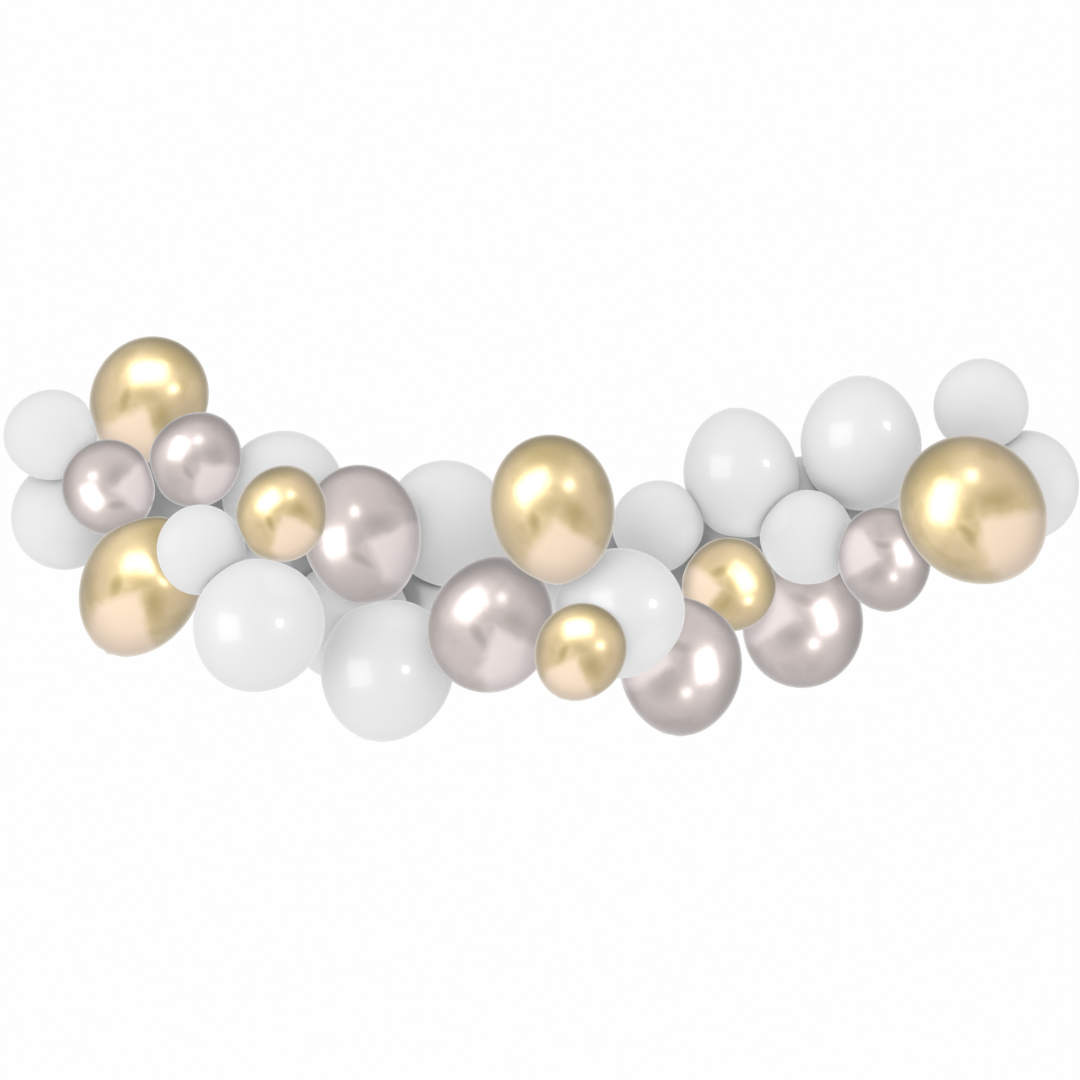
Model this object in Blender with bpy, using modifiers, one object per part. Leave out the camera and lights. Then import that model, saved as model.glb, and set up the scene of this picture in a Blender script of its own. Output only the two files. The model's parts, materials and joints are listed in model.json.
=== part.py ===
"""Balloon garland: a swag of white, gold and silver balloons tied along a flat plastic strip.

The front faces -Y and the wall is the plane y = 0. The origin is on the back of the strip, at
the bottom of the swag, where the middle of the garland is fastened.
"""
import math

import bmesh
import bpy
from mathutils import Matrix, Vector

# Driving sizes, in metres
GARLAND_LENGTH = 2.0
STRIP_WIDTH = 0.016
STRIP_THICKNESS = 0.0012
STRIP_HOLE = 0.006
STRIP_END_INSET = 0.143
STRIP_SAG = 0.233
GAP = 0.0003

# The knotted tail of a balloon that is BLOWN_WIDTH wide; a smaller one has it in proportion
BLOWN_WIDTH = 0.24
NECK_WIDTH = 0.009
KNOT_WIDTH = 0.015
LIP_WIDTH = 0.019
TAIL_LENGTH = 0.019

# How the balloons are blown, tied and packed. The shares are of a balloon's own half width: how
# far it is pressed in by a neighbour or the wall, and how much of its outline one may cover.
TAIL_TURN = math.radians(50)
TAPER_SHARE = 0.06
PEAR_SHARE = 0.05
PRESS_SHARE = 0.24
WALL_PRESS_SHARE = 0.06
COVERED_SHARE = 0.05

# Places and outlines are counted on a grid that is 1074 units from tip to tip
UNIT = GARLAND_LENGTH / 1074

WHITE = ((0.80, 0.80, 0.81), 0.28, 0.0)
GOLD = ((0.78, 0.60, 0.29), 0.22, 1.0)
SILVER = ((0.66, 0.59, 0.58), 0.24, 1.0)
STRIP = ((0.86, 0.87, 0.88), 0.35, 0.0)

# Name, finish, across, up, width, length, and where the round end points, in degrees
# clockwise from straight up. The inner balloons fill the middle of the garland; the outer ones
# follow from the wall to the front.
INNER_BALLOONS = [
    ("white_balloon_03", WHITE, -365, 88, 102, 102, 0),
    ("white_balloon_09", WHITE, -120, -1, 68, 68, 180),
    ("white_balloon_11", WHITE, 41, 16, 106, 106, 0),
    ("white_balloon_22", WHITE, 128, 20, 78, 78, 0),
    ("white_balloon_14", WHITE, 194, 43, 92, 92, 180),
    ("white_balloon_16", WHITE, 262, 87, 92, 92, 0),
    ("white_balloon_19", WHITE, 335, 90, 80, 80, 0),
    ("white_balloon_23", WHITE, -261, 29, 88, 88, 0),
]
OUTER_BALLOONS = [
    ("white_balloon_07", WHITE, -193, -32, 124, 124, 0),
    ("gold_balloon_1", GOLD, -393, 188, 116, 132, 30),
    ("white_balloon_02", WHITE, -476, 77, 106, 110, 180),
    ("white_balloon_06", WHITE, -256, 100, 124, 118, 200),
    ("white_balloon_10", WHITE, -90, 64, 123, 134, -45),
    ("silver_balloon_6", SILVER, 262, -29, 120, 134, 190),
    ("white_balloon_21", WHITE, 480, 105, 110, 112, 90),
    ("white_balloon_15", WHITE, 199, 118, 115, 134, 170),
    ("white_balloon_18", WHITE, 319, 149, 121, 136, 180),
    ("white_balloon_01", WHITE, -490, 155, 91, 96, 90),
    ("white_balloon_20", WHITE, 439, 186, 95, 94, 180),
    ("white_balloon_13", WHITE, 115, 65, 92, 90, 110),
    ("white_balloon_17", WHITE, 267, 52, 94, 96, 300),
    ("white_balloon_08", WHITE, -154, -81, 132, 145, 15),
    ("silver_balloon_1", SILVER, -430, 101, 93, 98, -15),
    ("gold_balloon_6", GOLD, 186, 5, 94, 96, 60),
    ("silver_balloon_7", SILVER, 342, 30, 93, 106, -10),
    ("silver_balloon_2", SILVER, -343, 132, 91, 98, 213),
    ("gold_balloon_2", GOLD, -400, 3, 118, 149, 28),
    ("silver_balloon_5", SILVER, 139, -77, 122, 140, 0),
    ("gold_balloon_7", GOLD, 432, 78, 140, 158, -45),
    ("silver_balloon_3", SILVER, -178, 53, 118, 143, -10),
    ("white_balloon_04", WHITE, -336, 40, 90, 88, 285),
    ("white_balloon_12", WHITE, 76, -20, 130, 131, 135),
    ("silver_balloon_4", SILVER, -48, -31, 124, 140, 205),
    ("white_balloon_05", WHITE, -282, -36, 130, 136, 30),
    ("gold_balloon_3", GOLD, -257, 78, 90, 98, 200),
    ("gold_balloon_4", GOLD, 12, 78, 123, 152, -8),
    ("gold_balloon_5", GOLD, 38, -62, 90, 100, 25),
]

BIG_WIDTH = 100
BIG_SIDES = 14
SMALL_SIDES = 10
EGG_RINGS = 7

# The strip hangs in a shallow curve between two round ends
STRIP_HALF = GARLAND_LENGTH / 2 - STRIP_END_INSET
STRIP_STEPS = 24
STRIP_HOLES = 14


class Balloon:
    """One balloon: its place, the way its round end points, and its half width and length."""

    def __init__(self, name, finish, across, up, width, length, lean):
        self.name = name
        self.finish = finish
        self.half_width = width * UNIT / 2
        outline = max(length / width, 1.0)
        stretch = math.sqrt(1 + (outline ** 2 - 1) / math.sin(TAIL_TURN) ** 2)
        self.half_length = self.half_width * stretch
        tail_size = 2 * self.half_width / BLOWN_WIDTH
        self.neck = NECK_WIDTH / 2 * tail_size
        self.knot = KNOT_WIDTH / 2 * tail_size
        self.lip = LIP_WIDTH / 2 * tail_size
        self.tail_length = TAIL_LENGTH * tail_size
        self.tip_distance = self.half_length + self.tail_length
        self.sides = BIG_SIDES if width >= BIG_WIDTH else SMALL_SIDES
        lean = math.radians(lean)
        self.axis = Vector((
            math.sin(TAIL_TURN) * math.sin(lean),
            -math.cos(TAIL_TURN),
            math.sin(TAIL_TURN) * math.cos(lean),
        ))
        self.centre = Vector((across * UNIT, -self.wall_distance(), up * UNIT))

    def wall_distance(self):
        """How far the centre stays from the wall: pressed on it, or held off by the tail."""
        turn = abs(self.axis.y)
        support = math.hypot(self.half_length * turn, self.half_width * math.sin(TAIL_TURN))
        tail = self.tip_distance * turn + self.lip
        return STRIP_THICKNESS + GAP + max(support * (1 - WALL_PRESS_SHARE), tail)

    def reach(self, direction):
        """Distance from the centre to the skin of the egg along a unit direction."""
        along = direction.dot(self.axis)
        return 1 / math.sqrt((1 - along ** 2) / self.half_width ** 2
                             + along ** 2 / self.half_length ** 2)


def push_back(balloon, placed, outline_kept):
    """Set the balloon's depth: as near to the wall as the ones behind it allow.

    Two balloons press each other flat, but an outer one only as far as it keeps its outline.
    """
    for other in placed:
        flat = Vector((balloon.centre.x - other.centre.x, 0, balloon.centre.z - other.centre.z))
        apart = flat.length
        depth = 0
        for _ in range(6):
            direction = Vector((flat.x, -depth, flat.z)).normalized()
            near, far = balloon.reach(direction), other.reach(direction)
            pressed = ((1 - PRESS_SHARE) * (near + far)) ** 2 - apart ** 2
            whole = outline_kept * ((1 - COVERED_SHARE) * far) ** 2 - (apart - near) ** 2
            depth = math.sqrt(max(pressed, whole, 0))
        if depth > 0:
            balloon.centre.y = min(balloon.centre.y, other.centre.y - depth)


def contact_planes(balloon, balloons):
    """Planes, as a point and an outward direction, where neighbours press the balloon flat."""
    planes = [(Vector((0, -STRIP_THICKNESS - GAP, 0)), Vector((0, 1, 0)))]
    for other in balloons:
        if other is balloon:
            continue
        between = other.centre - balloon.centre
        distance = between.length
        if distance > balloon.tip_distance + other.tip_distance:
            continue
        direction = between.normalized()
        near, far = balloon.reach(direction), other.reach(direction)
        meeting = (distance ** 2 + near ** 2 - far ** 2) / (2 * distance)
        planes.append((balloon.centre + direction * (meeting - GAP / 2), direction))
    return planes


def tail_is_free(balloon, planes):
    """Whether the knotted tail clears everything that the balloon is pressed on."""
    tip = balloon.centre - balloon.axis * balloon.tip_distance
    return all((tip - point).dot(direction) + balloon.lip < 0 for point, direction in planes)


def balloon_profile(balloon, with_tail):
    """Points from the crown down, as radius and height, to the rolled lip or the egg's end."""
    if with_tail:
        last = math.pi - math.asin(balloon.neck / (balloon.half_width * (1 - TAPER_SHARE)))
    else:
        last = math.pi
    points = []
    for ring in range(EGG_RINGS + 1):
        angle = last * ring / EGG_RINGS
        radius = balloon.half_width * math.sin(angle) * (1 + TAPER_SHARE * math.cos(angle))
        drawn = PEAR_SHARE * ((1 - math.cos(angle)) / 2) ** 8
        height = (balloon.half_length * (math.cos(angle) - drawn + PEAR_SHARE / 2)
                  / (1 + PEAR_SHARE / 2))
        points.append((radius, height))
    if with_tail:
        end = points[-1][1]
        for radius, share in ((balloon.knot, 0.32), (balloon.neck, 0.62), (balloon.lip, 0.86),
                              (balloon.lip * 0.8, 1.0), (0, 1.0)):
            points.append((radius, end - balloon.tail_length * share))
    return points


def turned_mesh(name, points, sides):
    """Turn a profile around Z with a Screw modifier and return the result as a plain mesh."""
    profile = bpy.data.meshes.new(name)
    edges = [(index, index + 1) for index in range(len(points) - 1)]
    profile.from_pydata([(x, 0, z) for x, z in points], edges, [])
    turning = bpy.data.objects.new(name + "_profile", profile)
    parts.objects.link(turning)
    screw = turning.modifiers.new("turn", "SCREW")
    screw.steps = sides
    screw.render_steps = sides
    screw.use_merge_vertices = True
    screw.merge_threshold = 0.00001
    graph = bpy.context.evaluated_depsgraph_get()
    mesh = bpy.data.meshes.new_from_object(turning.evaluated_get(graph))
    bpy.data.objects.remove(turning)
    bpy.data.meshes.remove(profile)
    mesh.name = name
    return mesh


def press_flat(mesh, placing, planes):
    """Cut the mesh flat at each plane that reaches it and close the cut with one flat face."""
    body = bmesh.new()
    body.from_mesh(mesh)
    body.transform(placing)
    for point, direction in planes:
        if max((vert.co - point).dot(direction) for vert in body.verts) <= 0:
            continue
        bmesh.ops.bisect_plane(
            body, geom=body.verts[:] + body.edges[:] + body.faces[:], dist=0.0001,
            plane_co=point, plane_no=direction, use_snap_center=True, clear_outer=True)
        rim = [edge for edge in body.edges if edge.is_boundary]
        bmesh.ops.contextual_create(body, geom=rim)
    bmesh.ops.recalc_face_normals(body, faces=body.faces)
    body.transform(placing.inverted())
    body.to_mesh(mesh)
    body.free()


def material(name, finish):
    colour, roughness, metallic = finish
    made = bpy.data.materials.new(name)
    made.use_nodes = True
    shader = made.node_tree.nodes["Principled BSDF"]
    shader.inputs["Base Color"].default_value = (*colour, 1)
    shader.inputs["Roughness"].default_value = roughness
    shader.inputs["Metallic"].default_value = metallic
    return made


def add_balloon(balloon, balloons):
    placing = (Matrix.Translation(balloon.centre)
               @ balloon.axis.to_track_quat("Z", "Y").to_matrix().to_4x4())
    planes = contact_planes(balloon, balloons)
    profile = balloon_profile(balloon, tail_is_free(balloon, planes))
    mesh = turned_mesh(balloon.name, profile, balloon.sides)
    press_flat(mesh, placing, planes)
    mesh.shade_smooth()
    mesh.set_sharp_from_angle(angle=math.radians(50))
    mesh.materials.append(material(balloon.name, balloon.finish))
    made = bpy.data.objects.new(balloon.name, mesh)
    made.matrix_world = placing
    parts.objects.link(made)


def strip_line(share):
    """A point of the strip's middle line and its slope, from one end (-1) to the other (1)."""
    x = STRIP_HALF * share
    return Vector((x, STRIP_SAG * share ** 2, 0)), math.atan2(2 * STRIP_SAG * share, STRIP_HALF)


def strip_outline():
    """The strip's outline: two long edges that follow the swag, and a half circle at each end."""
    half = STRIP_WIDTH / 2
    points = []
    for side, order in ((-1, range(STRIP_STEPS + 1)), (1, range(STRIP_STEPS, -1, -1))):
        for step in order:
            middle, slope = strip_line(2 * step / STRIP_STEPS - 1)
            points.append(middle + side * half * Vector((-math.sin(slope), math.cos(slope), 0)))
        middle, slope = strip_line(-side)
        for turn in (-60, -30, 0, 30, 60):
            angle = slope + math.radians(turn) + (0 if side < 0 else math.pi)
            points.append(middle + half * Vector((math.cos(angle), math.sin(angle), 0)))
    return points


def add_spline(curve, points):
    spline = curve.splines.new("POLY")
    spline.points.add(len(points) - 1)
    for spot, point in zip(spline.points, points):
        spot.co = (*point, 1)
    spline.use_cyclic_u = True


def add_strip():
    """The flat strip with its row of tying holes, lying in the wall plane."""
    curve = bpy.data.curves.new("hanging_strip", "CURVE")
    curve.dimensions = "2D"
    curve.fill_mode = "BOTH"
    curve.extrude = STRIP_THICKNESS / 2
    add_spline(curve, strip_outline())
    for index in range(STRIP_HOLES):
        middle, _ = strip_line((2 * index + 1) / STRIP_HOLES - 1)
        rim = [math.radians(60 * corner) for corner in range(6)]
        add_spline(curve, [middle + STRIP_HOLE / 2 * Vector((math.cos(turn), math.sin(turn), 0))
                           for turn in rim])
    curve.materials.append(material("hanging_strip", STRIP))
    made = bpy.data.objects.new("hanging_strip", curve)
    made.rotation_euler.x = math.radians(90)
    made.location.y = -STRIP_THICKNESS / 2
    parts.objects.link(made)


for old in list(bpy.data.objects):
    bpy.data.objects.remove(old)
parts = bpy.data.collections.new("balloon_garland")
bpy.context.scene.collection.children.link(parts)

garland = []
for row in INNER_BALLOONS + OUTER_BALLOONS:
    newest = Balloon(*row)
    push_back(newest, garland, outline_kept=row in OUTER_BALLOONS)
    garland.append(newest)
for balloon in garland:
    add_balloon(balloon, garland)
add_strip()
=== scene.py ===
"""Balloon garland: how it looks. The front faces -Y and the wall is the plane y = 0."""
import json
import math

import bmesh
import bpy
from mathutils import Matrix, Vector

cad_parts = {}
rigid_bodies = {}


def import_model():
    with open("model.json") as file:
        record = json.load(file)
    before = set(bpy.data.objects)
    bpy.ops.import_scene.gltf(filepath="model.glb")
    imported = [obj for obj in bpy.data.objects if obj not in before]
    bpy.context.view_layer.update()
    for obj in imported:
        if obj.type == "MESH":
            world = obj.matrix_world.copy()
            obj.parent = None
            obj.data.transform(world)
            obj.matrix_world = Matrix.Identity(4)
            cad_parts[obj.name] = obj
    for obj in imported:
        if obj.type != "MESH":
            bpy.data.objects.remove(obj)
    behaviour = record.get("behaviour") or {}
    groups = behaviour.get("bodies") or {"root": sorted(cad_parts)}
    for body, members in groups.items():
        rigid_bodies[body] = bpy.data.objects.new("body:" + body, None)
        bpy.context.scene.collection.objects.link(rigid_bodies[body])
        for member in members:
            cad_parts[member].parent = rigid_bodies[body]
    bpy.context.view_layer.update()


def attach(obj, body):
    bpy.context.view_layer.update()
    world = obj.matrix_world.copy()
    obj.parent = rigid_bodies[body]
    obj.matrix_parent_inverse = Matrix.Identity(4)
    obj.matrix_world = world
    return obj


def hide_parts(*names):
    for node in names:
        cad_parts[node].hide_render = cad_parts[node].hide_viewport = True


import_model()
scene = bpy.context.scene


# Hanging strip: a thin, milky plastic tape with a row of round tying holes, punched and cut out
# of rolled sheet, with round ends. It lies flat on the wall and every balloon is tied along it.
GARLAND_LENGTH = 2.0
STRIP_WIDTH = 0.016
STRIP_THICKNESS = 0.0012
STRIP_HOLE = 0.006
STRIP_END_INSET = 0.143
STRIP_SAG = 0.233
STRIP_STEPS = 96
STRIP_HOLES = 14
HOLE_CORNERS = 24
STRIP_EDGE = 0.0002
STRIP_HALF = GARLAND_LENGTH / 2 - STRIP_END_INSET


def new_mesh_object(name, mesh):
    """Put a finished mesh in the scene, at the origin, as a piece of the garland."""
    made = bpy.data.objects.new(name, mesh)
    scene.collection.objects.link(made)
    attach(made, "root")
    return made


def new_material(name):
    """A new material, with its node tree and its shader."""
    made = bpy.data.materials.new(name)
    made.use_nodes = True
    return made, made.node_tree, made.node_tree.nodes["Principled BSDF"]


def add_node(tree, kind, sources=None, **settings):
    """Add a node, set its own values and feed its inputs from sockets or plain values."""
    node = tree.nodes.new(kind)
    for key, value in settings.items():
        setattr(node, key, value)
    for key, value in (sources or {}).items():
        if isinstance(value, bpy.types.NodeSocket):
            tree.links.new(value, node.inputs[key])
        else:
            node.inputs[key].default_value = value
    return node


def strip_line(share):
    """A point of the strip's middle line and its slope, from one end (-1) to the other (1)."""
    middle = Vector((STRIP_HALF * share, STRIP_SAG * share ** 2, 0))
    return middle, math.atan2(2 * STRIP_SAG * share, STRIP_HALF)


def strip_outline():
    """The strip's outline seen from the front, with its round ends."""
    half = STRIP_WIDTH / 2 - STRIP_EDGE
    points = []
    for side, order in ((-1, range(STRIP_STEPS + 1)), (1, range(STRIP_STEPS, -1, -1))):
        for step in order:
            middle, slope = strip_line(2 * step / STRIP_STEPS - 1)
            points.append(middle + side * half * Vector((-math.sin(slope), math.cos(slope), 0)))
        middle, slope = strip_line(-side)
        for turn in range(-75, 76, 15):
            angle = slope + math.radians(turn) + (0 if side < 0 else math.pi)
            points.append(middle + half * Vector((math.cos(angle), math.sin(angle), 0)))
    return points


def add_spline(curve, points):
    spline = curve.splines.new("POLY")
    spline.points.add(len(points) - 1)
    for spot, point in zip(spline.points, points):
        spot.co = (*point, 1)
    spline.use_cyclic_u = True


def cut_strip():
    """The flat strip as a mesh: its outline and holes as a flat curve with a soft edge."""
    curve = bpy.data.curves.new("strip_outline", "CURVE")
    curve.dimensions = "2D"
    curve.fill_mode = "BOTH"
    curve.extrude = STRIP_THICKNESS / 2 - STRIP_EDGE
    curve.bevel_depth = STRIP_EDGE
    curve.bevel_resolution = 1
    add_spline(curve, strip_outline())
    for index in range(STRIP_HOLES):
        middle, _ = strip_line((2 * index + 1) / STRIP_HOLES - 1)
        radius = STRIP_HOLE / 2 + STRIP_EDGE
        rim = [math.tau * corner / HOLE_CORNERS for corner in range(HOLE_CORNERS)]
        add_spline(curve, [middle + radius * Vector((math.cos(turn), math.sin(turn), 0))
                           for turn in rim])
    drawn = bpy.data.objects.new("strip_outline", curve)
    scene.collection.objects.link(drawn)
    graph = bpy.context.evaluated_depsgraph_get()
    mesh = bpy.data.meshes.new_from_object(drawn.evaluated_get(graph))
    bpy.data.objects.remove(drawn)
    body = bmesh.new()
    body.from_mesh(mesh)
    body.transform(Matrix.Translation((0, -STRIP_THICKNESS / 2, 0))
                   @ Matrix.Rotation(math.pi / 2, 4, "X"))
    bmesh.ops.remove_doubles(body, verts=body.verts, dist=0.00001)
    bmesh.ops.recalc_face_normals(body, faces=body.faces)
    body.to_mesh(mesh)
    body.free()
    return mesh


def strip_plastic():
    made, tree, shader = new_material("strip_plastic")
    shader.inputs["Specular IOR Level"].default_value = 0.5
    place = add_node(tree, "ShaderNodeTexCoord").outputs["Object"]
    along = add_node(tree, "ShaderNodeMapping", {"Vector": place, "Scale": (4, 4, 900)})
    streak = add_node(tree, "ShaderNodeTexNoise", {"Vector": along.outputs["Vector"], "Scale": 1.0,
                                                   "Detail": 3.0})
    cloud = add_node(tree, "ShaderNodeTexNoise", {"Vector": place, "Scale": 60.0, "Detail": 4.0})
    tone = add_node(tree, "ShaderNodeValToRGB", {"Fac": streak.outputs["Fac"]})
    tone.color_ramp.elements[0].color = (0.78, 0.79, 0.80, 1)
    tone.color_ramp.elements[1].color = (0.88, 0.89, 0.90, 1)
    tree.links.new(tone.outputs["Color"], shader.inputs["Base Color"])
    rough = add_node(tree, "ShaderNodeMapRange", {"Value": cloud.outputs["Fac"],
                                                  "To Min": 0.25, "To Max": 0.42})
    tree.links.new(rough.outputs["Result"], shader.inputs["Roughness"])
    bump = add_node(tree, "ShaderNodeBump", {"Height": streak.outputs["Fac"], "Strength": 0.15,
                                             "Distance": 0.0003})
    tree.links.new(bump.outputs["Normal"], shader.inputs["Normal"])
    return made


strip = new_mesh_object("clear_strip", cut_strip())
strip.data.materials.append(strip_plastic())
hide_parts("hanging_strip")


# Places of the balloons: thirty-seven latex balloons, blown to two main sizes, knotted and tied
# along the strip. They lie from the wall outward, and each is pressed on the ones behind it.
UNIT = GARLAND_LENGTH / 1074
GAP = 0.0003
BLOWN_WIDTH = 0.24
NECK_WIDTH = 0.009
KNOT_WIDTH = 0.015
LIP_WIDTH = 0.019
TAIL_LENGTH = 0.019
TAIL_TURN = math.radians(50)
PRESS_SHARE = 0.24
WALL_PRESS_SHARE = 0.06
COVERED_SHARE = 0.05
DEPTH_TRIES = 6

# Name, across, up, width, length on a grid 1074 units long, and the round end's turn from up
INNER_PLACES = [
    ("white_balloon_03", -365, 88, 102, 102, 0),
    ("white_balloon_09", -120, -1, 68, 68, 180),
    ("white_balloon_11", 41, 16, 106, 106, 0),
    ("white_balloon_22", 128, 20, 78, 78, 0),
    ("white_balloon_14", 194, 43, 92, 92, 180),
    ("white_balloon_16", 262, 87, 92, 92, 0),
    ("white_balloon_19", 335, 90, 80, 80, 0),
    ("white_balloon_23", -261, 29, 88, 88, 0),
]
OUTER_PLACES = [
    ("white_balloon_07", -193, -32, 124, 124, 0),
    ("gold_balloon_1", -393, 188, 116, 132, 30),
    ("white_balloon_02", -476, 77, 106, 110, 180),
    ("white_balloon_06", -256, 100, 124, 118, 200),
    ("white_balloon_10", -90, 64, 123, 134, -45),
    ("silver_balloon_6", 262, -29, 120, 134, 190),
    ("white_balloon_21", 480, 105, 110, 112, 90),
    ("white_balloon_15", 199, 118, 115, 134, 170),
    ("white_balloon_18", 319, 149, 121, 136, 180),
    ("white_balloon_01", -490, 155, 91, 96, 90),
    ("white_balloon_20", 439, 186, 95, 94, 180),
    ("white_balloon_13", 115, 65, 92, 90, 110),
    ("white_balloon_17", 267, 52, 94, 96, 300),
    ("white_balloon_08", -154, -81, 132, 145, 15),
    ("silver_balloon_1", -430, 101, 93, 98, -15),
    ("gold_balloon_6", 186, 5, 94, 96, 60),
    ("silver_balloon_7", 342, 30, 93, 106, -10),
    ("silver_balloon_2", -343, 132, 91, 98, 213),
    ("gold_balloon_2", -400, 3, 118, 149, 28),
    ("silver_balloon_5", 139, -77, 122, 140, 0),
    ("gold_balloon_7", 432, 78, 140, 158, -45),
    ("silver_balloon_3", -178, 53, 118, 143, -10),
    ("white_balloon_04", -336, 40, 90, 88, 285),
    ("white_balloon_12", 76, -20, 130, 131, 135),
    ("silver_balloon_4", -48, -31, 124, 140, 205),
    ("white_balloon_05", -282, -36, 130, 136, 30),
    ("gold_balloon_3", -257, 78, 90, 98, 200),
    ("gold_balloon_4", 12, 78, 123, 152, -8),
    ("gold_balloon_5", 38, -62, 90, 100, 25),
]


class Balloon:
    """One blown balloon: its place, the way its round end points, and its half sizes."""

    def __init__(self, name, across, up, width, length, lean):
        self.name = name
        self.half_width = width * UNIT / 2
        outline = max(length / width, 1.0)
        self.half_length = self.half_width * math.sqrt(
            1 + (outline ** 2 - 1) / math.sin(TAIL_TURN) ** 2)
        tail_size = 2 * self.half_width / BLOWN_WIDTH
        self.neck = NECK_WIDTH / 2 * tail_size
        self.knot = KNOT_WIDTH / 2 * tail_size
        self.lip = LIP_WIDTH / 2 * tail_size
        self.tail_length = TAIL_LENGTH * tail_size
        self.tip_distance = self.half_length + self.tail_length
        lean = math.radians(lean)
        self.axis = Vector((math.sin(TAIL_TURN) * math.sin(lean), -math.cos(TAIL_TURN),
                            math.sin(TAIL_TURN) * math.cos(lean)))
        self.centre = Vector((across * UNIT, -self.wall_distance(), up * UNIT))

    def wall_distance(self):
        """How far the middle stands from the wall, with room for the strip and the tail."""
        turn = abs(self.axis.y)
        support = math.hypot(self.half_length * turn, self.half_width * math.sin(TAIL_TURN))
        tail = self.tip_distance * turn + self.lip
        return STRIP_THICKNESS + GAP + max(support * (1 - WALL_PRESS_SHARE), tail)

    def reach(self, direction):
        """Distance from the centre to the skin of the egg along a unit direction."""
        along = direction.dot(self.axis)
        return 1 / math.sqrt((1 - along ** 2) / self.half_width ** 2
                             + along ** 2 / self.half_length ** 2)

    def push_back(self, placed, outline_kept):
        """Lie as near to the wall as the balloons behind allow; an outer one keeps its outline."""
        for other in placed:
            flat = Vector((self.centre.x - other.centre.x, 0, self.centre.z - other.centre.z))
            apart = flat.length
            depth = 0
            for _ in range(DEPTH_TRIES):
                direction = Vector((flat.x, -depth, flat.z)).normalized()
                near, far = self.reach(direction), other.reach(direction)
                pressed = ((1 - PRESS_SHARE) * (near + far)) ** 2 - apart ** 2
                whole = outline_kept * ((1 - COVERED_SHARE) * far) ** 2 - (apart - near) ** 2
                depth = math.sqrt(max(pressed, whole, 0))
            if depth > 0:
                self.centre.y = min(self.centre.y, other.centre.y - depth)

    def contacts(self, others):
        """Planes, as a point and an outward direction, where the wall and neighbours press."""
        planes = [(Vector((0, -STRIP_THICKNESS - GAP, 0)), Vector((0, 1, 0)))]
        for other in others:
            between = other.centre - self.centre
            distance = between.length
            if other is self or distance > self.tip_distance + other.tip_distance:
                continue
            direction = between.normalized()
            near, far = self.reach(direction), other.reach(direction)
            meeting = (distance ** 2 + near ** 2 - far ** 2) / (2 * distance)
            planes.append((self.centre + direction * (meeting - GAP / 2), direction))
        return planes

    def tail_is_free(self, planes):
        """Whether the tail stays clear of the wall and of every neighbour."""
        tip = self.centre - self.axis * self.tip_distance
        return all((tip - point).dot(direction) + self.lip < 0 for point, direction in planes)


garland = {}
for row in INNER_PLACES + OUTER_PLACES:
    balloon = Balloon(*row)
    balloon.push_back(garland.values(), outline_kept=row in OUTER_PLACES)
    garland[balloon.name] = balloon


# White balloons: opaque latex, dipped on a former in one coat, so the skin is even and softly
# glossy, thicker and denser at the round end and the neck. The neck is knotted and gathers there.
TAPER_SHARE = 0.06
PEAR_SHARE = 0.05
PEAR_POWER = 8
SKIN_RINGS = 46
SKIN_SEGMENTS = 80
KNOT_RINGS = 9
PLEATS = 11
PLEAT_DEPTH = 0.16
PLEAT_REACH = 0.34
PRESS_EDGE = 26
NECK_BEND = math.radians(24)
NECK_BEND_START = 0.9
# Painted shade: an inner skin is painted darker between these hidden shares of the room; balloons
# this far off still hide some
PAINTED_SHADE_SHARES = (0.5, 0.95)
PAINTED_SHADE_REACH = 2
# Colour of the painted shade in the deep gaps between balloons
PAINTED_GAP_SHADE = (0.37, 0.37, 0.37)
WHITE_WAVE = 0.0003
INNER_NAMES = {row[0] for row in INNER_PLACES}
WHITE_NAMES = [name for name in garland if name.startswith("white")]


def knotted_neck(balloon, top):
    """Radius and height from the waist of the neck down: knot, waist, and rolled lip."""
    line = []
    for ring in range(1, KNOT_RINGS + 1):
        turn = math.pi * ring / KNOT_RINGS
        bead = balloon.neck + (balloon.knot - balloon.neck) * math.sin(turn) ** 0.8
        line.append((bead, 0.06 + 0.46 * ring / KNOT_RINGS))
    line += [(balloon.neck * 0.94, 0.60), (balloon.neck * 1.15, 0.68), (balloon.lip * 0.78, 0.78)]
    for turn in range(-40, 221, 40):
        angle = math.radians(turn)
        line.append((balloon.lip * (0.86 + 0.14 * math.cos(angle)),
                     0.90 + 0.10 * math.sin(angle)))
    line += [(balloon.lip * 0.52, 0.86), (balloon.lip * 0.3, 0.80), (0, 0.78)]
    return [(radius, top - balloon.tail_length * share) for radius, share in line]


def skin_line(balloon, tied):
    """Half the outline of the blown skin, as radius and height, from the round end down."""
    last = math.pi
    if tied:
        last -= math.asin(balloon.neck / (balloon.half_width * (1 - TAPER_SHARE)))
    line = []
    for ring in range(SKIN_RINGS + 1):
        angle = last * ring / SKIN_RINGS
        radius = balloon.half_width * math.sin(angle) * (1 + TAPER_SHARE * math.cos(angle))
        drawn = PEAR_SHARE * ((1 - math.cos(angle)) / 2) ** PEAR_POWER
        height = math.cos(angle) - drawn + PEAR_SHARE / 2
        line.append((radius, balloon.half_length * height / (1 + PEAR_SHARE / 2)))
    return line + knotted_neck(balloon, line[-1][1]) if tied else line


def gather_neck(body, balloon):
    """Draw the skin in to the knot in small pleats that die out up the balloon."""
    waist = -balloon.half_length
    for vert in body.verts:
        near_neck = max(0, 1 - abs(vert.co.z - waist) / (PLEAT_REACH * balloon.half_length))
        turn = math.atan2(vert.co.y, vert.co.x)
        uneven = math.sin(PLEATS * turn) * abs(math.cos(1.5 * turn))
        pull = 1 + PLEAT_DEPTH * near_neck ** 3 * uneven
        vert.co.x *= pull
        vert.co.y *= pull


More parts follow.
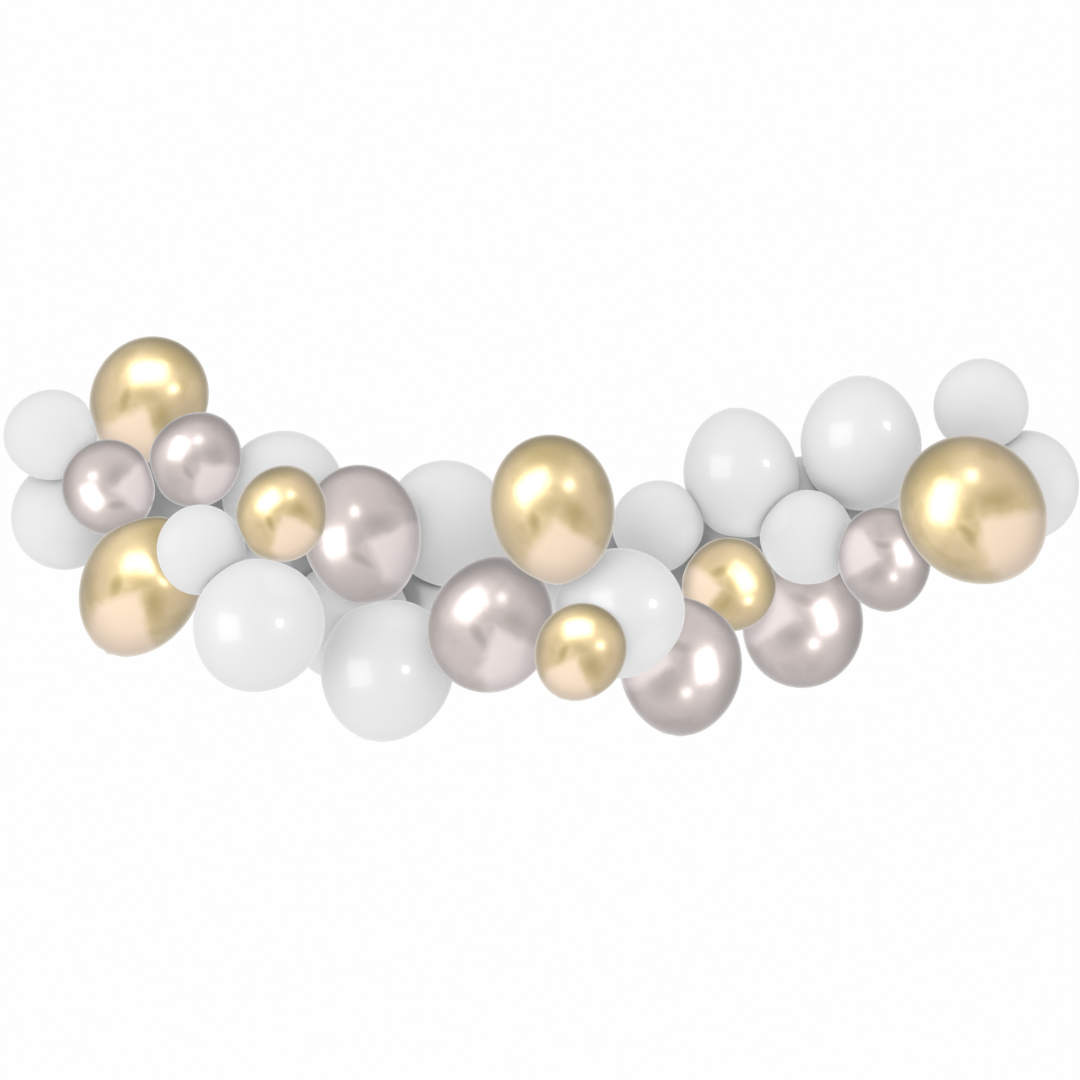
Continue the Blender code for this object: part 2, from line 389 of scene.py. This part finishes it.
def lean_back(body, balloon):
    """Bend the knotted neck back toward the wall, as its knot is drawn in to the strip."""
    start = -NECK_BEND_START * balloon.half_length
    turned = balloon.axis.to_track_quat("Z", "Y").inverted()
    hinge = Vector((0, 0, -1)).cross(turned @ Vector((0, 1, 0))).normalized()
    pivot = Vector((0, 0, start))
    for vert in body.verts:
        share = (start - vert.co.z) / (balloon.tip_distance + start)
        if share > 0:
            bend = Matrix.Rotation(NECK_BEND * min(share, 1), 3, hinge)
            vert.co = pivot + bend @ (vert.co - pivot)


def press(place, balloon, planes):
    """Move a point of the skin in along its radius, as far as what presses there needs."""
    out = place - balloon.centre
    crowding = 1
    for point, direction in planes:
        toward = out.dot(direction)
        if toward > 0:
            share = (point - balloon.centre).dot(direction) / toward
            crowding += share ** -PRESS_EDGE
    return balloon.centre + out * crowding ** (-1 / PRESS_EDGE)


def occlusion_for_painted_shade(place, out, others):
    """The share of the room that other balloons hide from a point of the skin that faces out, which
    sets the painted shade.
    """
    hidden = 0
    for other in others:
        toward = other.centre - place
        facing = toward.dot(out)
        if facing > 0:
            hidden += other.half_width * other.half_length * facing / toward.length ** 3
    return min(hidden, 1)


def blow(balloon, turn=0):
    """The balloon's skin as a mesh, with what the finish reads: length, the turned place of the
    painted reflections, and the depth of the painted shade.
    """
    planes = balloon.contacts(garland.values())
    near = [other for other in garland.values() if other is not balloon
            and (other.centre - balloon.centre).length
            < PAINTED_SHADE_REACH * (other.half_length + balloon.half_length)]
    tied = balloon.tail_is_free(planes)
    inner = balloon.name in INNER_NAMES
    body = bmesh.new()
    line = [body.verts.new((radius, 0, height)) for radius, height in skin_line(balloon, tied)]
    edges = [body.edges.new(pair) for pair in zip(line, line[1:])]
    bmesh.ops.spin(body, geom=line + edges, axis=(0, 0, 1), cent=(0, 0, 0), dvec=(0, 0, 0),
                   angle=math.tau, steps=SKIN_SEGMENTS, use_merge=True, use_duplicate=False)
    bmesh.ops.remove_doubles(body, verts=body.verts, dist=0.000005)
    bmesh.ops.recalc_face_normals(body, faces=body.faces)
    if tied:
        gather_neck(body, balloon)
    lengthwise = body.verts.layers.float.new("lengthwise")
    turned = body.verts.layers.float_vector.new("turned")
    painted_shade_depth = body.verts.layers.float.new("painted_shade_depth")
    for vert in body.verts:
        vert[lengthwise] = vert.co.z / balloon.half_length
    if tied:
        lean_back(body, balloon)
    body.transform(Matrix.Translation(balloon.centre)
                   @ balloon.axis.to_track_quat("Z", "Y").to_matrix().to_4x4())
    for vert in body.verts:
        out = (vert.co - balloon.centre) / balloon.half_width
        # The turned place that sets where the painted reflections lie on a chrome skin
        vert[turned] = Matrix.Rotation(math.radians(-turn), 3, "Y") @ out
        vert.co = press(vert.co, balloon, planes)
        # Painted shade: how deep an inner skin lies between the other balloons
        vert[painted_shade_depth] = occlusion_for_painted_shade(vert.co, out.normalized(), near) if inner else 0
    mesh = bpy.data.meshes.new(balloon.name + "_skin")
    body.to_mesh(mesh)
    body.free()
    mesh.shade_smooth()
    return mesh


def skin_effects():
    """The marks of dipped latex, for every finish: dense ends, soft clouds and a fine ripple."""
    group = bpy.data.node_groups.new("dipped_latex", "ShaderNodeTree")
    group.interface.new_socket("Cloud Scale", in_out="INPUT", socket_type="NodeSocketFloat")
    group.interface.new_socket("Crown", in_out="OUTPUT", socket_type="NodeSocketFloat")
    group.interface.new_socket("Neck", in_out="OUTPUT", socket_type="NodeSocketFloat")
    group.interface.new_socket("Cloud", in_out="OUTPUT", socket_type="NodeSocketFloat")
    group.interface.new_socket("Ripple", in_out="OUTPUT", socket_type="NodeSocketFloat")
    given = group.nodes.new("NodeGroupInput")
    result = group.nodes.new("NodeGroupOutput")
    place = add_node(group, "ShaderNodeTexCoord").outputs["Object"]
    length = add_node(group, "ShaderNodeAttribute", attribute_name="lengthwise").outputs["Fac"]
    crown = add_node(group, "ShaderNodeMapRange",
                     {"Value": length, "From Min": 0.93, "From Max": 0.99},
                     interpolation_type="SMOOTHSTEP")
    neck = add_node(group, "ShaderNodeMapRange",
                    {"Value": length, "From Min": -0.80, "From Max": -1.02},
                    interpolation_type="SMOOTHSTEP")
    cloud = add_node(group, "ShaderNodeTexNoise",
                     {"Vector": place, "Scale": given.outputs["Cloud Scale"], "Detail": 3.0,
                      "Roughness": 0.5})
    ripple = add_node(group, "ShaderNodeTexNoise", {"Vector": place, "Scale": 420.0, "Detail": 2.0})
    group.links.new(crown.outputs["Result"], result.inputs["Crown"])
    group.links.new(neck.outputs["Result"], result.inputs["Neck"])
    group.links.new(cloud.outputs["Fac"], result.inputs["Cloud"])
    group.links.new(ripple.outputs["Fac"], result.inputs["Ripple"])
    return group


dipped_latex = skin_effects()


def blend(tree, share, first, second):
    """Mix two colours, each a socket or a plain red, green and blue."""
    colours = {6: first, 7: second}
    for key, colour in colours.items():
        if not isinstance(colour, bpy.types.NodeSocket):
            colours[key] = (*colour, 1)
    mixed = add_node(tree, "ShaderNodeMix", {"Factor": share, **colours}, data_type="RGBA")
    return mixed.outputs[2]


def ripple_bump(tree, shader, effects, wave):
    """A fine ripple over a long, shallow wave of the skin, the wave's height in metres."""
    waves = add_node(tree, "ShaderNodeBump", {"Height": effects.outputs["Cloud"], "Strength": 1.0,
                                              "Distance": wave})
    bump = add_node(tree, "ShaderNodeBump", {"Height": effects.outputs["Ripple"], "Strength": 0.05,
                                             "Distance": 0.0002, "Normal": waves.outputs["Normal"]})
    tree.links.new(bump.outputs["Normal"], shader.inputs["Normal"])


def white_latex():
    """White latex: near even, a trace lighter at both ends, with shade painted darker where
    neighbours hide it.
    """
    made, tree, shader = new_material("white_latex")
    effects = add_node(tree, "ShaderNodeGroup", node_tree=dipped_latex)
    effects.inputs["Cloud Scale"].default_value = 9.0
    even = blend(tree, effects.outputs["Cloud"], (0.745, 0.745, 0.745), (0.765, 0.765, 0.765))
    crowned = blend(tree, effects.outputs["Crown"], even, (0.785, 0.785, 0.78))
    tied = blend(tree, effects.outputs["Neck"], crowned, (0.80, 0.795, 0.78))
    # Painted shade: inner skins are painted grey where other balloons hide them
    hidden = add_node(tree, "ShaderNodeAttribute", attribute_name="painted_shade_depth").outputs["Fac"]
    painted_shade = add_node(tree, "ShaderNodeMapRange",
                    {"Value": hidden, "From Min": PAINTED_SHADE_SHARES[0], "From Max": PAINTED_SHADE_SHARES[1]},
                    interpolation_type="SMOOTHSTEP").outputs["Result"]
    tree.links.new(blend(tree, painted_shade, tied, PAINTED_GAP_SHADE), shader.inputs["Base Color"])
    rough = add_node(tree, "ShaderNodeMapRange", {"Value": effects.outputs["Cloud"],
                                                  "To Min": 0.42, "To Max": 0.52})
    tree.links.new(rough.outputs["Result"], shader.inputs["Roughness"])
    shader.inputs["Sheen Weight"].default_value = 0.5
    shader.inputs["Coat Weight"].default_value = 0.4
    shader.inputs["Coat Roughness"].default_value = 0.12
    ripple_bump(tree, shader, effects, WHITE_WAVE)
    return made


white_finish = white_latex()
for name in WHITE_NAMES:
    skin = new_mesh_object(name.replace("balloon", "skin"), blow(garland[name]))
    skin.data.materials.append(white_finish)
    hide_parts(name)
    skin.visible_glossy = False


# Gold balloons: latex with a mirror-like metal layer, in pale champagne gold. Its reflections are
# painted into its colour: olive gold at the round end, dark clouds, duller sides and a peach pool
# lower down.
CHROME_WAVE = 0.0016
BOUNCE_TONE = (0.85, 0.85, 0.85)
# How far each balloon's painted reflections are turned, in degrees, as seen from the front
GOLD_TURNS = {"gold_balloon_1": 29, "gold_balloon_2": 30, "gold_balloon_3": -17, "gold_balloon_4": -5,
              "gold_balloon_5": 27, "gold_balloon_6": 85, "gold_balloon_7": -47}


def spot(group, place, centre, size, turn, edge):
    """A soft oval mark: its middle, its half sizes and its turn, in half widths and degrees."""
    near = add_node(group, "ShaderNodeMapping", {"Vector": place, "Location": (*centre, 0),
                                                 "Rotation": (0, 0, math.radians(turn)),
                                                 "Scale": (*size, 1)}, vector_type="TEXTURE")
    round_mark = add_node(group, "ShaderNodeTexGradient", {"Vector": near.outputs["Vector"]},
                          gradient_type="SPHERICAL")
    soft = add_node(group, "ShaderNodeMapRange",
                    {"Value": round_mark.outputs["Fac"], "From Max": edge},
                    interpolation_type="SMOOTHSTEP")
    return soft.outputs["Result"]


def calculate(tree, operation, *values):
    """One step of arithmetic, on sockets or plain values."""
    step = add_node(tree, "ShaderNodeMath", dict(enumerate(values)), operation=operation)
    return step.outputs["Value"]


def painted_reflection_masks():
    """Masks of the painted reflections on a chrome skin: the painted light pool low on it, the
    painted dark clouds, and its painted duller sides.
    """
    group = bpy.data.node_groups.new("painted_reflection_masks", "ShaderNodeTree")
    for name in ("Reflected Pool", "Reflected Dark", "Side"):
        group.interface.new_socket(name, in_out="OUTPUT", socket_type="NodeSocketFloat")
    result = group.nodes.new("NodeGroupOutput")
    turned = add_node(group, "ShaderNodeAttribute", attribute_name="turned").outputs["Vector"]
    parted = add_node(group, "ShaderNodeSeparateXYZ", {"Vector": turned})
    flat = add_node(group, "ShaderNodeCombineXYZ",
                    {"X": parted.outputs["X"], "Y": parted.outputs["Z"]})
    where = add_node(group, "ShaderNodeTexCoord").outputs["Object"]
    noise = add_node(group, "ShaderNodeTexNoise", {"Vector": where, "Scale": 13.0, "Detail": 2.0})
    centred = add_node(group, "ShaderNodeVectorMath",
                       {0: noise.outputs["Color"], 1: (0.5, 0.5, 0.5)}, operation="SUBTRACT")
    waver = add_node(group, "ShaderNodeVectorMath",
                     {0: centred.outputs["Vector"], 1: (0.28, 0.28, 0)}, operation="MULTIPLY")
    place = add_node(group, "ShaderNodeVectorMath",
                     {0: flat.outputs["Vector"], 1: waver.outputs["Vector"]},
                     operation="ADD").outputs["Vector"]
    wavy = add_node(group, "ShaderNodeSeparateXYZ", {"Vector": place})
    across, up = wavy.outputs["X"], wavy.outputs["Y"]
    # Painted reflection of a pale floor: a light pool low on the skin
    under = calculate(group, "ADD", up, 0.07)
    left_edge = calculate(group, "MAXIMUM", calculate(group, "MULTIPLY", under, 0.85), -0.50)
    right_edge = calculate(group, "MULTIPLY", under, -1.16)
    inside = calculate(group, "SMOOTH_MIN", calculate(group, "SUBTRACT", across, left_edge),
                       calculate(group, "SUBTRACT", right_edge, across), 0.08)
    reflected_pool = add_node(group, "ShaderNodeMapRange",
                    {"Value": inside, "From Min": -0.10, "From Max": 0.18},
                    interpolation_type="SMOOTHSTEP").outputs["Result"]
    # Painted dark reflections: a streak, a patch, a shelf under the highlight and a darker top
    streak = spot(group, place, (-0.32, -0.13), (0.15, 0.34), 6, 0.9)
    reflection_patch = spot(group, place, (0.36, -0.10), (0.30, 0.50), 42, 1.0)
    reflection_shelf = spot(group, place, (-0.05, 0.10), (0.62, 0.20), 0, 1.0)
    crown = spot(group, place, (0.02, 1.05), (1.1, 0.55), 0, 0.9)
    reflected_dark = calculate(group, "MAXIMUM", calculate(group, "MAXIMUM", streak, reflection_patch),
                     calculate(group, "MAXIMUM", calculate(group, "MULTIPLY", crown, 0.9),
                               calculate(group, "MULTIPLY", reflection_shelf, 0.5)))
    clear = calculate(group, "SUBTRACT", 1.0, reflected_pool)
    # Painted reflections that make the sides duller
    reflected_sides = calculate(group, "MAXIMUM", spot(group, place, (0.68, 0.18), (0.55, 0.75), 0, 0.7),
                      spot(group, place, (-0.66, -0.28), (0.36, 0.52), 12, 0.7))
    group.links.new(reflected_pool, result.inputs["Reflected Pool"])
    group.links.new(calculate(group, "MULTIPLY", reflected_dark, clear), result.inputs["Reflected Dark"])
    group.links.new(reflected_sides, result.inputs["Side"])
    return group


painted_reflections = painted_reflection_masks()


def chrome_latex(name, middle, side, reflected_dark, reflected_pool, neck):
    """A metal-layered latex in five tones, with painted reflections clouding it, and a clear glossy
    skin over it.
    """
    made, tree, shader = new_material(name)
    effects = add_node(tree, "ShaderNodeGroup", node_tree=dipped_latex)
    effects.inputs["Cloud Scale"].default_value = 17.0
    reflections = add_node(tree, "ShaderNodeGroup", node_tree=painted_reflections)
    # Painted reflections over the base tone: duller sides, dark clouds, a random mottle toward the
    # dark, and the light pool
    tone = blend(tree, reflections.outputs["Side"], middle, side)
    tone = blend(tree, reflections.outputs["Reflected Dark"], tone, reflected_dark)
    reflection_mottle = add_node(tree, "ShaderNodeMapRange",
                       {"Value": effects.outputs["Cloud"], "From Min": 0.50, "From Max": 0.72,
                        "To Max": 0.55})
    tone = blend(tree, reflection_mottle.outputs["Result"], tone, reflected_dark)
    tone = blend(tree, reflections.outputs["Reflected Pool"], tone, reflected_pool)
    tone = blend(tree, effects.outputs["Neck"], tone, neck)
    # The light it throws on the latex beside it is white, so that no neighbour is tinted
    thrown = add_node(tree, "ShaderNodeLightPath").outputs["Is Diffuse Ray"]
    tree.links.new(blend(tree, thrown, tone, BOUNCE_TONE), shader.inputs["Base Color"])
    rough = add_node(tree, "ShaderNodeMapRange", {"Value": effects.outputs["Cloud"],
                                                  "To Min": 0.31, "To Max": 0.39})
    tree.links.new(rough.outputs["Result"], shader.inputs["Roughness"])
    shader.inputs["Metallic"].default_value = 1.0
    shader.inputs["Coat Weight"].default_value = 1.0
    shader.inputs["Coat IOR"].default_value = 2.0
    shader.inputs["Coat Roughness"].default_value = 0.24
    ripple_bump(tree, shader, effects, CHROME_WAVE)
    return made


def hang_chrome(turns, finish):
    """Blow the chrome balloons of one colour, each with its painted reflections turned, and finish
    them.
    """
    for name, turn in turns.items():
        skin = new_mesh_object(name.replace("balloon", "skin"), blow(garland[name], turn))
        skin.data.materials.append(finish)
        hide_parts(name)
        skin.visible_glossy = False


# Base tone, then the painted reflections' tones (side, dark, pool), then the neck's own tone
gold_finish = chrome_latex("gold_chrome_latex", middle=(0.66, 0.50, 0.245),
                           side=(0.585, 0.432, 0.212), reflected_dark=(0.40, 0.29, 0.075),
                           reflected_pool=(0.89, 0.685, 0.49), neck=(0.55, 0.40, 0.17))
hang_chrome(GOLD_TURNS, gold_finish)


# Silver balloons: the same metal-layered latex in a mauve, pearly silver, with the same painted
# reflections, from grey at the round end to a pale rose pool lower down.
SILVER_TURNS = {"silver_balloon_1": -86, "silver_balloon_2": -33, "silver_balloon_3": -61,
                "silver_balloon_4": -18, "silver_balloon_5": 112, "silver_balloon_6": 108,
                "silver_balloon_7": 108}

# Base tone, then the painted reflections' tones (side, dark, pool), then the neck's own tone
silver_finish = chrome_latex("silver_chrome_latex", middle=(0.535, 0.46, 0.44),
                             side=(0.49, 0.418, 0.398), reflected_dark=(0.365, 0.31, 0.29),
                             reflected_pool=(0.755, 0.66, 0.65), neck=(0.42, 0.37, 0.36))
hang_chrome(SILVER_TURNS, silver_finish)


# Studio: white paper all round and a pale floor far below, which takes no part in the light. The
# balloons that shine have their own large box and small lamp, set where the gloss shows them, as
# in a picture put together from single shots; no balloon shows in another's gloss.
FLOOR_HEIGHT = -1.2
FLOOR_HALF = 8.0
BOX_DISTANCE = 0.8
VIEW = Vector((0, -1, 0))
# Where the box and the lamp show on each balloon: offsets from its middle, on the grid
CHROME_LIGHTS = {
    "gold_balloon_1": ((4, 32), (27, 15)), "gold_balloon_2": ((5, 27), (27, 12)),
    "gold_balloon_3": ((-13.5, 12), (9.4, 19.8)), "gold_balloon_4": ((-20, 30), (15, 29)),
    "gold_balloon_5": ((1, 27), (20.6, 9.6)), "gold_balloon_6": ((16, 9.5), (20.7, -13)),
    "gold_balloon_7": ((-34, 14), (-7, 37)), "silver_balloon_1": ((-16.6, -8), (-15.6, 15)),
    "silver_balloon_2": ((-18.3, 9), (3, 20)), "silver_balloon_3": ((-27.5, -3), (-8.4, 28.5)),
    "silver_balloon_4": ((-21, 18), (10.6, 27)), "silver_balloon_5": ((24.6, 3.4), (5.7, -27.6)),
    "silver_balloon_6": ((21.4, 4.3), (8.4, -25.8)), "silver_balloon_7": ((18, 8), (9, -19)),
}
WHITE_LIGHTS = {
    "white_balloon_05": ((-28.7, -1.7), (23, 6)), "white_balloon_08": ((-27, -2), (19, 4)),
    "white_balloon_12": ((-18, 8), (35, 5)), "white_balloon_15": ((-20.5, 6.5), (25, 10)),
    "white_balloon_18": ((-20, 7.6), (26, 18)),
}
# Half sizes of the highlights as shares of the half width, and the long side's turn from level
CHROME_BOX = (0.31, 0.175)
CHROME_BOX_TILT = 34
CHROME_LAMP = (0.065, 0.065)
WHITE_BOX = (0.23, 0.18)
WHITE_LAMP = (0.055, 0.045)
WHITE_TILT = 90
# Brightness of the boxes and lamps; a chrome balloon's lamp is so many times as bright as its box
GOLD_BOX_GLOW = 2.5
SILVER_BOX_GLOW = 2.1
CHROME_LAMP_TIMES = 1.7
WHITE_BOX_GLOW = 3.6
WHITE_LAMP_GLOW = 26.0


def gloss_direction(balloon, across, up):
    """The spot of the skin that shows at this offset in the picture, and what it reflects."""
    place = Vector((across * UNIT, 0, up * UNIT))
    axis, wide, long = balloon.axis, balloon.half_width ** -2, balloon.half_length ** -2
    square = wide + (long - wide) * axis.y ** 2
    linear = 2 * (long - wide) * place.dot(axis) * axis.y
    rest = wide * place.dot(place) + (long - wide) * place.dot(axis) ** 2 - 1
    place.y = (-linear - math.sqrt(max(linear ** 2 - 4 * square * rest, 0))) / (2 * square)
    normal = (wide * place + (long - wide) * place.dot(axis) * axis).normalized()
    return balloon.centre + place, 2 * normal.dot(VIEW) * normal - VIEW


def soft_box(name, balloon, middle_spot, size, tilt, brightness):
    """A soft light that only this balloon sees, as large as its highlight in the picture needs."""
    skin_spot, toward = gloss_direction(balloon, *middle_spot)
    middle = skin_spot + toward * BOX_DISTANCE
    spans = []
    for share, turn in zip(size, (math.radians(tilt), math.radians(tilt + 90))):
        half = share * balloon.half_width / UNIT
        ends = []
        for way in (-half, half):
            place, gloss = gloss_direction(balloon, middle_spot[0] + way * math.cos(turn),
                                           middle_spot[1] + way * math.sin(turn))
            ends.append(place + gloss * (middle - place).dot(toward) / gloss.dot(toward))
        spans.append(ends[1] - ends[0])
    side = spans[0].normalized()
    rise = toward.cross(side)
    lamp = bpy.data.lights.new(name, "AREA")
    lamp.shape = "RECTANGLE"
    lamp.size = spans[0].length
    lamp.size_y = abs(spans[1].dot(rise))
    lamp.energy = brightness * math.pi * lamp.size * lamp.size_y
    box = bpy.data.objects.new(name, lamp)
    turned = Matrix((side, rise, toward)).transposed().to_4x4()
    box.matrix_world = Matrix.Translation(middle) @ turned
    box.visible_camera = False
    box.visible_diffuse = False
    scene.collection.objects.link(box)
    seen = bpy.data.collections.new(name)
    seen.objects.link(bpy.data.objects[balloon.name.replace("balloon", "skin")])
    box.light_linking.receiver_collection = seen
    box.light_linking.blocker_collection = seen


for name, (large, small) in CHROME_LIGHTS.items():
    tilt = CHROME_BOX_TILT - {**GOLD_TURNS, **SILVER_TURNS}[name]
    glow = GOLD_BOX_GLOW if name in GOLD_TURNS else SILVER_BOX_GLOW
    soft_box(name + "_box", garland[name], large, CHROME_BOX, tilt, glow)
    soft_box(name + "_lamp", garland[name], small, CHROME_LAMP, tilt, CHROME_LAMP_TIMES * glow)
for name, (large, small) in WHITE_LIGHTS.items():
    soft_box(name + "_box", garland[name], large, WHITE_BOX, WHITE_TILT, WHITE_BOX_GLOW)
    soft_box(name + "_lamp", garland[name], small, WHITE_LAMP, WHITE_TILT, WHITE_LAMP_GLOW)

# The room's light: brightest from the upper left, a little less straight from the front, and
# falling off behind the balloons, where it is lifted low down
BRIGHT_SIDE = Vector((-0.75, -0.5, 0.4)).normalized()
ROOM_LEVELS = (0.97, 1.17)
FRONT_LEVEL = 0.9
BEHIND_LEVEL = 0.37
FAR_BEHIND_LEVEL = 0.8
LOW_LIFT = 0.42
world = bpy.data.worlds.new("studio")
scene.world = world
world.use_nodes = True
sky = world.node_tree
sky.nodes.clear()
direction = add_node(sky, "ShaderNodeTexCoord").outputs["Generated"]
parted = add_node(sky, "ShaderNodeSeparateXYZ", {"Vector": direction})
behind, height = parted.outputs["Y"], parted.outputs["Z"]
facing = add_node(sky, "ShaderNodeVectorMath", {0: direction, 1: BRIGHT_SIDE},
                  operation="DOT_PRODUCT").outputs["Value"]
level = add_node(sky, "ShaderNodeMapRange",
                 {"Value": facing, "From Min": -1.0, "From Max": 1.0,
                  "To Min": ROOM_LEVELS[0], "To Max": ROOM_LEVELS[1]}).outputs["Result"]
fall = add_node(sky, "ShaderNodeValToRGB", {"Fac": behind})
tones = fall.color_ramp.elements
tones[0].position = 0.08
tones[0].color = (1, 1, 1, 1)
tones[1].position = 0.83
tones[1].color = (*[BEHIND_LEVEL] * 3, 1)
tones.new(0.96).color = (*[FAR_BEHIND_LEVEL] * 3, 1)
lift = add_node(sky, "ShaderNodeMapRange",
                {"Value": height, "From Min": -0.6, "From Max": 0.5,
                 "To Min": LOW_LIFT, "To Max": 0.0}).outputs["Result"]
around = add_node(sky, "ShaderNodeMix", {0: lift, 2: fall.outputs["Color"], 3: 1.0}).outputs[0]
front = add_node(sky, "ShaderNodeMapRange",
                 {"Value": behind, "From Min": -1.0, "From Max": -0.75, "To Min": FRONT_LEVEL,
                  "To Max": 1.0}, interpolation_type="SMOOTHSTEP").outputs["Result"]
strength = calculate(sky, "MULTIPLY", calculate(sky, "MULTIPLY", level, front), around)
paper = add_node(sky, "ShaderNodeBackground", {"Color": (0.99, 0.99, 0.99, 1), "Strength": 1.0})
room = add_node(sky, "ShaderNodeBackground", {"Color": (1, 1, 1, 1), "Strength": strength})
path = add_node(sky, "ShaderNodeLightPath")
shown = add_node(sky, "ShaderNodeMixShader", {0: path.outputs["Is Camera Ray"],
                                              1: room.outputs["Background"],
                                              2: paper.outputs["Background"]})
add_node(sky, "ShaderNodeOutputWorld", {"Surface": shown.outputs["Shader"]})

ground = bmesh.new()
bmesh.ops.create_grid(ground, x_segments=1, y_segments=1, size=FLOOR_HALF,
                      matrix=Matrix.Translation((0, 0, FLOOR_HEIGHT)))
floor_mesh = bpy.data.meshes.new("floor")
ground.to_mesh(floor_mesh)
ground.free()
floor = bpy.data.objects.new("floor", floor_mesh)
scene.collection.objects.link(floor)
floor_paint, _, floor_shader = new_material("floor_paint")
floor_shader.inputs["Base Color"].default_value = (0.94, 0.94, 0.94, 1)
floor_shader.inputs["Roughness"].default_value = 0.8
floor_mesh.materials.append(floor_paint)
floor.visible_diffuse = floor.visible_glossy = floor.visible_shadow = False


# Camera: far in front, level, with a very long lens, so that the balloons show as flat and even
# as in the picture. The picture is 1080 grid units wide and high.
CAMERA_DISTANCE = 60.0
SENSOR_WIDTH = 36.0
PICTURE = 1080 * UNIT
PICTURE_MIDDLE = (-1.0, 50.5)
lens = bpy.data.cameras.new("camera")
lens.sensor_width = SENSOR_WIDTH
lens.lens = SENSOR_WIDTH * CAMERA_DISTANCE / PICTURE
lens.clip_start = 1.0
lens.clip_end = 200.0
camera = bpy.data.objects.new("camera", lens)
camera.location = (PICTURE_MIDDLE[0] * UNIT, -CAMERA_DISTANCE, PICTURE_MIDDLE[1] * UNIT)
camera.rotation_euler = (math.pi / 2, 0, 0)
scene.collection.objects.link(camera)
scene.camera = camera
scene.view_settings.view_transform = "Standard"
